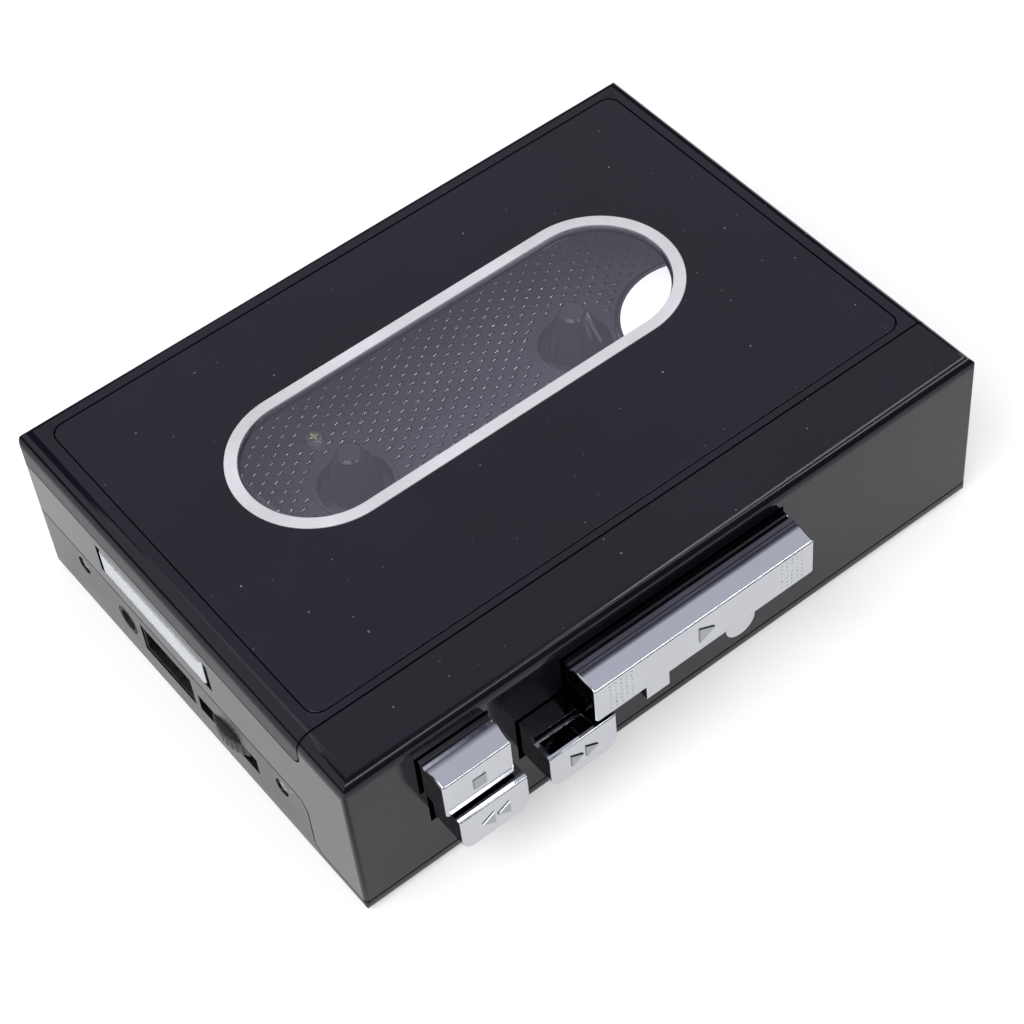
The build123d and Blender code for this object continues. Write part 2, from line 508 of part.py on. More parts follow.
with BuildPart() as chassis_screws:
    for x, y in CHASSIS_SCREWS:
        rod_z(x, y, CHASSIS_Z0 - 0.7, CHASSIS_Z0, 1.2)
        rod_z(x, y, CHASSIS_Z0, UPPER_Z - 0.4, 0.58)
        block(x - 0.7, x + 0.7, y - 0.15, y + 0.15, CHASSIS_Z0 - 1, CHASSIS_Z0 - 0.4, Mode.SUBTRACT)
        block(x - 0.15, x + 0.15, y - 0.7, y + 0.7, CHASSIS_Z0 - 1, CHASSIS_Z0 - 0.4, Mode.SUBTRACT)
save(chassis_screws, "chassis_screws")

with BuildPart() as side_screws:
    for side in (-1, 1):
        for y, z in SIDE_SCREWS:
            x0, x1 = sorted((side * 57.2, side * 56.3))
            rod_x(x0, x1, y, z, SCREW_HEAD_R)
            x0, x1 = sorted((side * 56.3, side * 53.6))
            rod_x(x0, x1, y, z, SCREW_SHANK_R - 0.02)
            x0, x1 = sorted((side * 58.0, side * 56.7))
            block(x0, x1, y - 0.85, y + 0.85, z - 0.18, z + 0.18, Mode.SUBTRACT)
            block(x0, x1, y - 0.18, y + 0.18, z - 0.85, z + 0.85, Mode.SUBTRACT)
save(side_screws, "side_screws")

with BuildPart() as bar_rivets:
    for x in KEY_BARS:
        for y in RIVET_Y:
            rod_z(x, y, BAR_Z0 - 0.35, BAR_Z0 - 0.05, 1.4)
            rod_z(x, y, BAR_Z0 - 0.05, CHASSIS_Z1, 0.72)
save(bar_rivets, "bar_rivets")

with BuildPart() as key_springs:
    for x in KEY_BARS:
        length = SPRING_Y1 - SPRING_Y0 - 2 * SPRING_WIRE
        add(coil_y(SPRING_R, SPRING_WIRE, 0.6, length, (x, SPRING_Y0 + SPRING_WIRE, SPRING_Z)))
save(key_springs, "key_springs")


# ---------------------------------------------------------------- keys
def key_body(x0, x1, profile, edge_points, radius=0.35):
    """A key extruded across X from its side profile, with its front edges rounded."""
    with BuildPart() as key:
        with BuildSketch(Plane.YZ.offset(x0)):
            Polygon(*profile, align=None)
        extrude(amount=x1 - x0)
        for y, z in edge_points:
            edge = key.edges().filter_by(Axis.X).sort_by_distance(((x0 + x1) / 2, y, z))[0]
            fillet(edge, radius)
        fillet(key.faces().sort_by(Axis.Y)[0].edges().filter_by(Axis.Z), 0.45)
    return key.part


def upper_profile(face, groove, slope):
    """Side outline of an upper key: stem, groove, flat top, sloping band, front."""
    top = UPPER_KEY_Z1
    return [
        (UPPER_STEM_END, UPPER_KEY_Z0),
        (face, UPPER_KEY_Z0),
        (face, top - 0.55),
        (slope, top),
        (groove, top),
        (groove, top - 0.5),
        (groove + 0.7, top - 0.5),
        (groove + 0.7, top),
        (UPPER_STEM_END, top),
    ]


def key_bar(x, y_front, upper=False):
    """A flat steel bar under the chassis, slotted for its rivets and its spring."""
    with BuildPart() as bar:
        half = BAR_WIDTH / 2
        block(x - half, x + half, y_front, -9.5, BAR_Z0, BAR_Z1)
        if upper:
            block(x - half, x + half, y_front, y_front + 1.2, BAR_Z0, UPPER_KEY_Z1 - 0.8)
        for y in RIVET_Y:
            block(x - 0.85, x + 0.85, y - KEY_TRAVEL - 0.1, y, 12, 15, Mode.SUBTRACT)
            rod_z(x, y, 12, 15, 0.85, Mode.SUBTRACT)
            rod_z(x, y - KEY_TRAVEL - 0.1, 12, 15, 0.85, Mode.SUBTRACT)
        block(x - 1.4, x + 1.4, SPRING_Y0 - KEY_TRAVEL - 0.15, SPRING_Y1 + 1.0, 12, 15, Mode.SUBTRACT)
    return bar.part


with BuildPart() as stop_key:
    add(key_body(STOP_X0, STOP_X1, upper_profile(STOP_FACE, -43.7, -45.2), [(STOP_FACE, UPPER_KEY_Z0)]))
    fillet(stop_key.edges().filter_by(Axis.X).sort_by_distance((-40, STOP_FACE, UPPER_KEY_Z1 - 0.55))[0], 0.4)
save(stop_key, "stop_key")

with BuildPart() as stop_bar:
    add(key_bar(STOP_BAR_X, UPPER_STEM_END, upper=True))
save(stop_bar, "stop_bar")

TAB_X, TAB_R, TAB_DROP = 5.5, 2.65, 2.8
with BuildPart() as play_key:
    add(key_body(PLAY_X0, PLAY_X1, upper_profile(PLAY_FACE, -43.6, -45.2), [(PLAY_FACE, UPPER_KEY_Z0)]))
    fillet(play_key.edges().filter_by(Axis.X).sort_by_distance((0, PLAY_FACE, UPPER_KEY_Z1 - 0.55))[0], 0.4)
    # shallow ridge lines across the top
    for y in (-44.35, -45.0):
        block(PLAY_X0 - 1, PLAY_X1 + 1, y - 0.09, y + 0.09, UPPER_KEY_Z1 - 0.12, UPPER_KEY_Z1 + 1, Mode.SUBTRACT)
    # rounded tab and square tab hanging below the front face
    with BuildSketch(Plane.XZ.offset(-PLAY_FACE - 1.6)):
        with Locations((TAB_X, UPPER_KEY_Z0 - TAB_DROP + TAB_R)):
            Circle(TAB_R)
        with Locations((TAB_X, UPPER_KEY_Z0 + 0.3)):
            Rectangle(2 * TAB_R, 1.0)
        with Locations((-9.7, UPPER_KEY_Z0 - 1.1)):
            Rectangle(4.1, 3.2)
    extrude(amount=1.5)
    # two patches of dimples near the ends
    for x0 in (-18.0, 13.2):
        for column in range(5):
            for row in range(7):
                with Locations((x0 + 0.95 * column, PLAY_FACE, 20.6 + 0.85 * row)):
                    Sphere(0.16, mode=Mode.SUBTRACT)
save(play_key, "play_key")

with BuildPart() as play_bar:
    add(key_bar(PLAY_BAR_X, UPPER_STEM_END, upper=True))
    rod_z(PLAY_BAR_X, LINK_Y, BAR_Z1, HEAD_PLATE_Z1 + 0.2, LINK_R)
save(play_bar, "play_bar")

LOWER_ROUND = 2.0


def lower_key(x0, x1, stem_x1, stem_z1):
    """A lower key: block cap with rounded lower corners on a narrower stem."""
    with BuildPart() as key:
        with BuildSketch(Plane.XZ.offset(-LOWER_STEM_END)):
            with Locations(((x0 + x1) / 2, (LOWER_KEY_Z0 + LOWER_KEY_Z1) / 2)):
                Rectangle(x1 - x0, LOWER_KEY_Z1 - LOWER_KEY_Z0)
        extrude(amount=LOWER_STEM_END - LOWER_FACE)
        for x in (x0, x1):
            edge = key.edges().filter_by(Axis.Y).sort_by_distance((x, LOWER_FACE, LOWER_KEY_Z0))[0]
            fillet(edge, LOWER_ROUND)
        fillet(key.faces().sort_by(Axis.Y)[0].edges(), 0.3)
        if stem_z1 > LOWER_KEY_Z1:
            block(x0, stem_x1, -45.1, LOWER_STEM_END, LOWER_KEY_Z1 - 1, stem_z1)
    return key.part


with BuildPart() as rewind_key:
    add(lower_key(REW_X0, REW_X1, REW_X1, LOWER_KEY_Z1))
save(rewind_key, "rewind_key")

with BuildPart() as rewind_bar:
    add(key_bar(REW_BAR_X, LOWER_STEM_END))
save(rewind_bar, "rewind_bar")

with BuildPart() as fast_forward_key:
    add(lower_key(FF_X0, FF_X1, -21.6, FF_STEM_Z1))
    block(FF_X0 + 0.6, -21.1, -48.0, -45.4, LOWER_KEY_Z0 + 1.0, LOWER_KEY_Z1 + 1, Mode.SUBTRACT)
    block(-20.4, FF_X1 - 0.6, -48.0, -43.9, LOWER_KEY_Z0 + 1.0, LOWER_KEY_Z1 + 1, Mode.SUBTRACT)
save(fast_forward_key, "fast_forward_key")

with BuildPart() as fast_forward_bar:
    add(key_bar(FF_BAR_X, LOWER_STEM_END))
save(fast_forward_bar, "fast_forward_bar")

# ---------------------------------------------------------------- head plate, head and pinch roller
with BuildPart() as head_plate:
    block(-6.5, 13.6, -30.5, -14.4, HEAD_PLATE_Z0, HEAD_PLATE_Z1)
    fillet(head_plate.edges().filter_by(Axis.Z), 1.0)
    block(-4.9, 7.6, -30.5, -26.0, HEAD_PLATE_Z1, 17.5)
    rod_z(PLAY_BAR_X, LINK_Y, 14, 18, LINK_R + 0.02, Mode.SUBTRACT)
save(head_plate, "head_plate")

with BuildPart() as tape_head:
    with BuildSketch(Plane.XY.offset(17.5)):
        with Locations((TAPE_X, -29.5)):
            Rectangle(12.4, 7.4)
    extrude(amount=9.2)
    fillet(tape_head.edges().filter_by(Axis.Z).group_by(Axis.Y)[-1], 3.0)
save(tape_head, "tape_head")

with BuildPart() as pinch_arm:
    with BuildSketch(Plane.XY.offset(16.3)):
        for point in (ARM_PIVOT, ROLLER):
            with Locations(point):
                Circle(2.0)
        dx, dy = ROLLER[0] - ARM_PIVOT[0], ROLLER[1] - ARM_PIVOT[1]
        with Locations(((ARM_PIVOT[0] + ROLLER[0]) / 2, (ARM_PIVOT[1] + ROLLER[1]) / 2)):
            Rectangle(sqrt(dx * dx + dy * dy), 3.2, rotation=degrees(atan2(dy, dx)))
        with Locations(ARM_PIVOT):
            Circle(0.9 + RUNNING, mode=Mode.SUBTRACT)
    extrude(amount=1.2)
    rod_z(*ROLLER, 17.5, ROLLER_Z1 + 0.4, 0.9)
save(pinch_arm, "pinch_arm")

with BuildPart() as pinch_roller:
    rod_z(*ROLLER, ROLLER_Z0, ROLLER_Z1, ROLLER_R)
    rod_z(*ROLLER, ROLLER_Z0 - 1, ROLLER_Z1 + 1, 0.9 + RUNNING, Mode.SUBTRACT)
save(pinch_roller, "pinch_roller")

# ---------------------------------------------------------------- reels and drive
SPINDLE_FOOT = ((5.5, 15.3), (5.5, 16.7), (4.3, 17.0), (4.15, 17.8))
SPINDLE_POST = ((3.2, 21.6), (2.4, 24.3), (2.2, 24.85), (1.7, 25.2))


def spindle(x, ribs):
    """A reel spindle: flange in the deck's hole, bullet-shaped post and low drive ribs."""
    with BuildPart() as post:
        with BuildSketch(Plane.XZ):
            with BuildLine():
                Polyline((0, 15.3), *SPINDLE_FOOT, *SPINDLE_POST, (0, 25.3), close=True)
            make_face()
        revolve(axis=Axis.Z)
        for step in range(ribs):
            with BuildSketch(Plane.XZ.rotated((0, 0, 360 / ribs * step))):
                Polygon((0.5, 17.4), (4.8, 17.4), (4.5, 19.6), (2.6, 24.0), (0.5, 24.0), align=None)
            extrude(amount=0.4, both=True)
        rod_z(0, 0, 15, 18.3, SHAFT_R, Mode.SUBTRACT)
    return Pos(x, HUB_Y, 0) * post.part


with BuildPart() as supply_spindle:
    add(spindle(SUPPLY_X, 3))
save(supply_spindle, "supply_spindle")

with BuildPart() as takeup_spindle:
    add(spindle(TAKEUP_X, 6))
save(takeup_spindle, "takeup_spindle")


def reel_wheel(x, radius):
    """A reel shaft with its wheel, running in the cover's boss and the chassis."""
    with BuildPart() as wheel:
        rod_z(x, HUB_Y, 3.2, 18.3, SHAFT_R)
        rod_z(x, HUB_Y, DRIVE_Z0, DRIVE_Z1, radius)
        rod_z(x, HUB_Y, DRIVE_Z1, DRIVE_Z1 + 1.4, 3.0)
        rod_z(x, HUB_Y, 5.3, DRIVE_Z0, 2.0)
        with Locations((x, HUB_Y, (DRIVE_Z0 + DRIVE_Z1) / 2)):
            with PolarLocations(6.4, 5):
                Cylinder(1.7, 4, mode=Mode.SUBTRACT)
    return wheel.part


with BuildPart() as supply_wheel:
    add(reel_wheel(SUPPLY_X, SUPPLY_WHEEL_R))
save(supply_wheel, "supply_wheel")

with BuildPart() as takeup_wheel:
    add(reel_wheel(TAKEUP_X, TAKEUP_WHEEL_R))
save(takeup_wheel, "takeup_wheel")

with BuildPart() as capstan:
    rod_z(CAPSTAN_X, CAPSTAN_Y, 3.2, 26.8, SHAFT_R)
save(capstan, "capstan")

with BuildPart() as flywheel:
    rod_z(CAPSTAN_X, CAPSTAN_Y, FLYWHEEL_Z0, FLYWHEEL_Z1, FLYWHEEL_R)
    rod_z(CAPSTAN_X, CAPSTAN_Y, DRIVE_Z0, FLYWHEEL_Z0, PINION_R)
    rod_z(CAPSTAN_X, CAPSTAN_Y, DRIVE_Z0 - 1, FLYWHEEL_Z1 + 1, SHAFT_R, Mode.SUBTRACT)
    with Locations((CAPSTAN_X, CAPSTAN_Y, BELT_Z)):
        Torus(FLYWHEEL_R, GROOVE_DEPTH, mode=Mode.SUBTRACT)
save(flywheel, "flywheel")

with BuildPart() as idler_wheel:
    rod_z(IDLER_X, IDLER_Y, DRIVE_Z0, DRIVE_Z1, IDLER_R)
    rod_z(IDLER_X, IDLER_Y, DRIVE_Z0 - 1, DRIVE_Z1 + 1, SHAFT_R + RUNNING, Mode.SUBTRACT)
    with Locations((IDLER_X, IDLER_Y, (DRIVE_Z0 + DRIVE_Z1) / 2)):
        with PolarLocations(4.7, 3, 30):
            Cylinder(1.6, 4, mode=Mode.SUBTRACT)
save(idler_wheel, "idler_wheel")

with BuildPart() as idler_stud:
    rod_z(IDLER_X, IDLER_Y, 3.0, DRIVE_Z1 + 0.05, SHAFT_R)
save(idler_stud, "idler_stud")

with BuildPart() as motor:
    rod_z(MOTOR_X, MOTOR_Y, MOTOR_Z0, MOTOR_Z1, MOTOR_R)
    rod_z(MOTOR_X, MOTOR_Y, 6.0, MOTOR_Z1 + 1, 0.8 + RUNNING, Mode.SUBTRACT)
    fillet(motor.edges().filter_by(GeomType.CIRCLE).sort_by(SortBy.RADIUS)[-1], 0.8)
save(motor, "motor")

with BuildPart() as motor_pulley:
    rod_z(MOTOR_X, MOTOR_Y, 6.3, 12.1, 0.8)
    rod_z(MOTOR_X, MOTOR_Y, 9.9, 12.1, PULLEY_R)
    with Locations((MOTOR_X, MOTOR_Y, BELT_Z)):
        Torus(PULLEY_R, GROOVE_DEPTH - 0.1, mode=Mode.SUBTRACT)
save(motor_pulley, "motor_pulley")


def belt_outline(r_big, r_small):
    """The outline of a belt round two wheels, as seen from above."""
    dx, dy = MOTOR_X - CAPSTAN_X, MOTOR_Y - CAPSTAN_Y
    span = sqrt(dx * dx + dy * dy)
    heading, lean = atan2(dy, dx), acos((r_big - r_small) / span)
    points = []
    for x, y, r, signs in ((CAPSTAN_X, CAPSTAN_Y, r_big, (-1, 1)), (MOTOR_X, MOTOR_Y, r_small, (1, -1))):
        for sign in signs:
            angle = heading + sign * lean
            points.append((x + r * cos(angle), y + r * sin(angle)))
    with BuildSketch() as outline:
        Polygon(*points, align=None)
        with Locations((CAPSTAN_X, CAPSTAN_Y)):
            Circle(r_big)
        with Locations((MOTOR_X, MOTOR_Y)):
            Circle(r_small)
    return outline.sketch


with BuildPart() as drive_belt:
    with BuildSketch(Plane.XY.offset(BELT_Z - 0.4)):
        add(belt_outline(FLYWHEEL_R + 0.35, PULLEY_R + 0.35))
        add(belt_outline(FLYWHEEL_R - 0.5, PULLEY_R - 0.5), mode=Mode.SUBTRACT)
    extrude(amount=0.8)
save(drive_belt, "drive_belt")

# ---------------------------------------------------------------- electronics
JACK_X1, USB_X0, USB_X1 = -43.6, -57.3, -43.5
with BuildPart() as circuit_board:
    block(BOARD_X0, BOARD_X1, BOARD_Y0, BOARD_Y1, BOARD_Z0, BOARD_Z1)
save(circuit_board, "circuit_board")

with BuildPart() as board_components:
    for x, y, size_x, size_y, size_z in (
        (-37.0, 8.0, 7.0, 7.0, 1.1),
        (-37.5, -4.0, 5.0, 6.2, 1.6),
        (-36.0, 16.5, 3.2, 1.6, 1.0),
        (-34.2, 1.0, 1.6, 3.2, 1.0),
        (-40.0, 13.0, 2.0, 1.2, 0.8),
    ):
        block(x - size_x / 2, x + size_x / 2, y - size_y / 2, y + size_y / 2, BOARD_Z1, BOARD_Z1 + size_z)
    for x, y in ((-38.0, -11.5), (-34.8, -11.5)):
        rod_z(x, y, BOARD_Z1, BOARD_Z1 + 4.2, 1.4)
save(board_components, "board_components")

with BuildPart() as headphone_jack:
    block(LEFT + WALL + 0.1, JACK_X1, JACK_Y - 3, JACK_Y + 3, BOARD_Z1, 12.0)
    rod_x(LEFT, LEFT + WALL + 0.2, JACK_Y, JACK_Z, 2.4)
    rod_x(LEFT - 1, JACK_X1 - 0.8, JACK_Y, JACK_Z, JACK_BORE_R, Mode.SUBTRACT)
save(headphone_jack, "headphone_jack")

with BuildPart() as usb_shell:
    block(USB_X0, USB_X1, USB_Y - USB_W / 2, USB_Y + USB_W / 2, USB_Z - USB_H / 2, USB_Z + USB_H / 2)
    fillet(usb_shell.edges().filter_by(Axis.X), 0.5)
    block(USB_X0 - 1, USB_X1 - 1.0, USB_Y - USB_W / 2 + 0.3, USB_Y + USB_W / 2 - 0.3,
          USB_Z - USB_H / 2 + 0.3, USB_Z + USB_H / 2 - 0.3, Mode.SUBTRACT)
save(usb_shell, "usb_shell")

with BuildPart() as usb_tongue:
    block(USB_X0 + 1.3, USB_X1 - 1.0, USB_Y - 5.55, USB_Y + 5.55, USB_Z + 0.35, USB_Z + 2.19)
save(usb_tongue, "usb_tongue")

with BuildPart() as volume_pot:
    block(WHEEL_X - 4.5, WHEEL_X + 4.5, WHEEL_Y - 4.5, WHEEL_Y + 4.5, BOARD_Z1, WHEEL_Z0 - 0.1)
    rod_z(WHEEL_X, WHEEL_Y, WHEEL_Z0 - 0.1, WHEEL_Z1 + 0.3, SHAFT_R)
save(volume_pot, "volume_pot")

with BuildPart() as volume_wheel:
    rod_z(WHEEL_X, WHEEL_Y, WHEEL_Z0, WHEEL_Z1, WHEEL_R)
    rod_z(WHEEL_X, WHEEL_Y, WHEEL_Z0 - 1, WHEEL_Z1 + 1, SHAFT_R + RUNNING, Mode.SUBTRACT)
    chamfer(volume_wheel.edges().filter_by(GeomType.CIRCLE).sort_by(SortBy.RADIUS)[-2:], 0.2)
    with Locations((WHEEL_X, WHEEL_Y, (WHEEL_Z0 + WHEEL_Z1) / 2)):
        with PolarLocations(WHEEL_R + 0.12, 48):
            Cylinder(0.3, 4, mode=Mode.SUBTRACT)
save(volume_wheel, "volume_wheel")

# ---------------------------------------------------------------- battery contacts
with BuildPart() as battery_plates:
    block(-CELL_X, -CELL_X + 0.35, CELL_Y - 5, CELL_Y + 5, 2.2, 15.5)
    block(CELL_X - 0.35, CELL_X, CELL_Y - 5, CELL_Y + 5, 2.2, 15.5)
    rod_x(CELL_X - 1.4, CELL_X - 0.35, CELL_Y, CELL_Z, 2.0)
save(battery_plates, "battery_plates")

with BuildPart() as battery_spring:
    for step in range(4):
        with Locations(Location((-CELL_X + 0.9 + 1.1 * step, CELL_Y, CELL_Z), (0, 90, 0))):
            Torus(4.0 - 0.6 * step, 0.4)
    for step in range(3):
        x = -CELL_X + 0.9 + 1.1 * step
        rod_x(x, x + 1.1, CELL_Y + 3.7 - 0.6 * step, CELL_Z, 0.3)
save(battery_spring, "battery_spring")
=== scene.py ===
"""Studio scene of a portable cassette player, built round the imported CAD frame."""
import json
import math

import bmesh
import bpy
from mathutils import Matrix, Vector


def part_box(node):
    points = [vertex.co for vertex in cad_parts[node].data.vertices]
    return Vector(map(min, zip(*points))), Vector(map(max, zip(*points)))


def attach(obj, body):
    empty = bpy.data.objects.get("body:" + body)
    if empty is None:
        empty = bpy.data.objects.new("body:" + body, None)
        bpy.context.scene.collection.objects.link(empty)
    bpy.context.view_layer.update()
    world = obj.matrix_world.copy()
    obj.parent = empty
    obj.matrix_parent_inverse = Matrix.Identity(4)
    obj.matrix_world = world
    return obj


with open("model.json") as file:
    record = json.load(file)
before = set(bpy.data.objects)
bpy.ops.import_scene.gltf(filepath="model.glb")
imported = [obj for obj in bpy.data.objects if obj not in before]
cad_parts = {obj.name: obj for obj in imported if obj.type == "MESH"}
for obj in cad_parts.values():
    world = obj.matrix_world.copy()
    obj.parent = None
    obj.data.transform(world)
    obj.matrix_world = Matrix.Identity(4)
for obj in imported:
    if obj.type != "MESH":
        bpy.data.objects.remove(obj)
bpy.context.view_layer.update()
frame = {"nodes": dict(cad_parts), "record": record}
nodes = frame["nodes"]
MM = 0.001

# ------------------------------------------------------------------ sizes and places
# Camera: where it stands, its image's right and down directions, and its lens and sensor in mm.
CAMERA_AT = Vector((-137.81, -214.59, 315.76)) * MM
CAMERA_RIGHT = Vector((0.7845, -0.6156, -0.0745))
CAMERA_DOWN = Vector((-0.5162, -0.5819, -0.6284))
CAMERA_LENS, SENSOR_WIDTH = 91.53, 36.0
CLIP_NEAR, CLIP_FAR = 0.01, 20.0

# CAD nodes: vertices closer than the reach are joined, and edges sharper than the angle are rounded.
WELD_REACH = 2e-6
EDGE_RADIUS = 0.12 * MM
EDGE_ANGLE, SMOOTH_ANGLE, PIECE_SMOOTH_ANGLE = math.radians(40), math.radians(38), math.radians(40)

# Pips on the bay floor: one pip, the start and two steps of their field, and what they keep clear of.
PIP_LENGTH, PIP_WIDTH, PIP_HEIGHT, PIP_TURN = 1.7 * MM, 0.62 * MM, 0.42 * MM, 0.18
PIP_RINGS, PIP_AROUND = 3, 8
PIP_START = Vector((0.4, 5.0)) * MM
PIP_STEPS = (Vector((1.54, -1.18)) * MM, Vector((1.52, 1.18)) * MM)
PIP_REACH = 60
BAY_MARGIN = 1.5 * MM
LABEL_CLEAR, SPINDLE_CLEAR, SCREW_CLEAR = 1.5 * MM, 7.6 * MM, 2.3 * MM
DECK_SCREWS = ((-19.5, 21.2), (-45.0, -5.0), (10.0, -5.0), (48.5, 20.5))
FLOOR_BITE = 0.02 * MM

# Rim round the bay label: its section as (distance out from the label, height), in mm.
RIM_SECTION = ((0.35, 0.0), (0.4, 0.22), (0.55, 0.3), (0.85, 0.3), (1.0, 0.22), (1.05, 0.0))
RIM_STEPS = 96

# Key tops: where along Y the dark moulding starts, and over what depth it fades in.
STOP_DARK, PLAY_DARK, LOWER_DARK = (-43.6 * MM, 1.0 * MM), (-45.3 * MM, 0.5 * MM), (-47.9 * MM, 0.1 * MM)

# Symbols on the key fronts.
SYMBOL_SIZE, SYMBOL_HEIGHT, SYMBOL_BITE, SYMBOL_TAPER = 2.2 * MM, 0.2 * MM, 0.05 * MM, 0.06 * MM
PAIR_OFFSET = 1.3 * MM
STOP_DROP, REWIND_DROP = 0.2 * MM, 0.1 * MM
PLAY_BELOW_TOP, FORWARD_ABOVE_FOOT = 4.0 * MM, 3.6 * MM
PLAY_SCALE = 1.3

# Studio: floor, room, and area lights as (name, place, width and depth, power, colour).
FLOOR_HALF = 4.0
FLOOR_GLOW = 0.44
ROOM_COLOUR, ROOM_STRENGTH = (0.5, 0.52, 0.56, 1), 0.08
AIM = Vector((0, 0, 0.01))
WHITE, COOL_WHITE = (1, 1, 1), (0.87, 0.88, 1.0)
LIGHTS = (
    ("key_light", (-0.85, -0.3, 1.2), (1.0, 1.0), 17, WHITE),
    ("ceiling_softbox", (0.42, 0.5, 1.15), (1.2, 1.35), 4.3, COOL_WHITE),
    ("side_softbox", (-0.65, 0.69, 0.88), (1.5, 1.5), 6.4, WHITE),
    ("overhead_strip", (0.48, -0.42, 1.12), (1.1, 0.1), 3.2, WHITE),
    ("front_strip", (0.45, -0.87, 0.86), (1.3, 0.12), 3.6, WHITE),
)


# ------------------------------------------------------------------ camera
def make_camera():
    """The photograph's view point: high over the front left corner."""
    data = bpy.data.cameras.new("camera")
    data.lens = CAMERA_LENS
    data.sensor_width = SENSOR_WIDTH
    data.clip_start = CLIP_NEAR
    data.clip_end = CLIP_FAR
    camera = bpy.data.objects.new("camera", data)
    right = CAMERA_RIGHT.normalized()
    up = -(CAMERA_DOWN - CAMERA_DOWN.dot(right) * right).normalized()
    back = right.cross(up)
    rotation = Matrix((right, up, back)).transposed().to_4x4()
    camera.matrix_world = Matrix.Translation(CAMERA_AT) @ rotation
    bpy.context.scene.collection.objects.link(camera)
    bpy.context.scene.camera = camera


# ------------------------------------------------------------------ shader node helpers
def new_material(name, **sockets):
    """A Principled material with its uniform sockets set."""
    material = bpy.data.materials.new(name)
    material.use_nodes = True
    shader = material.node_tree.nodes["Principled BSDF"]
    for key, value in sockets.items():
        shader.inputs[key].default_value = value
    return material, material.node_tree, shader


def node(tree, kind, **settings):
    """A node with its settings, and inputs given by name."""
    made = tree.nodes.new(kind)
    for key, value in settings.get("props", {}).items():
        setattr(made, key, value)
    for key, value in settings.get("inputs", {}).items():
        made.inputs[key].default_value = value
    return made


def object_coords(tree):
    """Coordinates in the object's own frame, in metres."""
    return node(tree, "ShaderNodeTexCoord").outputs["Object"]


def noise(tree, vector, scale, detail=3.0, roughness=0.55):
    """Smooth noise from 0 to 1, with about scale features to the metre."""
    inputs = {"Scale": scale, "Detail": detail, "Roughness": roughness}
    made = node(tree, "ShaderNodeTexNoise", inputs=inputs)
    tree.links.new(vector, made.inputs["Vector"])
    return made.outputs["Fac"]


def ramp(tree, value, stops):
    """Maps 0..1 through stops of (position, number or colour)."""
    made = node(tree, "ShaderNodeValToRGB")
    elements = made.color_ramp.elements
    while len(elements) < len(stops):
        elements.new(0.5)
    for element, (position, shade) in zip(elements, stops):
        colour = shade if isinstance(shade, tuple) else (shade, shade, shade)
        element.position = position
        element.color = (*colour, 1.0)
    tree.links.new(value, made.inputs["Fac"])
    return made.outputs["Color"]


def mottle(tree, value, colour, darkest, lightest=1.0, span=(0.3, 0.7)):
    """A colour that wanders between two strengths of itself as value crosses span."""
    dark = tuple(c * darkest for c in colour)
    light = tuple(min(1.0, c * lightest) for c in colour)
    return ramp(tree, value, [(span[0], dark), (span[1], light)])


def set_roughness(tree, shader, value, rough, least, most, span):
    """Roughness that wanders between two multiples of rough as value crosses span."""
    uneven = ramp(tree, value, [(span[0], rough * least), (span[1], min(1.0, rough * most))])
    tree.links.new(uneven, shader.inputs["Roughness"])


def bump(tree, shader, height, strength, distance):
    """Makes the surface rise and fall with height."""
    made = node(tree, "ShaderNodeBump", inputs={"Strength": strength, "Distance": distance})
    tree.links.new(height, made.inputs["Height"])
    tree.links.new(made.outputs["Normal"], shader.inputs["Normal"])


def math_node(tree, operation, a, b=None, clamp=False):
    """One operation on two values, each a number or another node's output."""
    made = node(tree, "ShaderNodeMath", props={"operation": operation, "use_clamp": clamp})
    for slot, value in zip(made.inputs, (a, b)):
        if value is None:
            continue
        if isinstance(value, (int, float)):
            slot.default_value = value
        else:
            tree.links.new(value, slot)
    return made.outputs["Value"]


def mix_colour(tree, factor, a, b):
    """Colour a where factor is 0 and b where it is 1."""
    made = node(tree, "ShaderNodeMix", props={"data_type": "RGBA"})
    tree.links.new(factor, made.inputs["Factor"])
    for slot, value in (("A", a), ("B", b)):
        target = next(s for s in made.inputs if s.name == slot and s.type == "RGBA")
        if isinstance(value, tuple):
            target.default_value = (*value, 1.0)
        else:
            tree.links.new(value, target)
    return next(s for s in made.outputs if s.type == "RGBA")


def mix_shaders(tree, factor, a, b):
    """Shader a where factor is 0 and b where it is 1."""
    made = node(tree, "ShaderNodeMixShader")
    if isinstance(factor, float):
        made.inputs["Fac"].default_value = factor
    else:
        tree.links.new(factor, made.inputs["Fac"])
    tree.links.new(a.outputs[0], made.inputs[1])
    tree.links.new(b.outputs[0], made.inputs[2])
    return made


def facing(tree, axis):
    """One component of the surface normal, in the object's own frame."""
    split = node(tree, "ShaderNodeSeparateXYZ")
    tree.links.new(node(tree, "ShaderNodeTexCoord").outputs["Normal"], split.inputs["Vector"])
    return split.outputs[axis]


def turned_to(tree, axis):
    """0 to 1 as the surface faces either way along an axis."""
    return math_node(tree, "ABSOLUTE", facing(tree, axis))


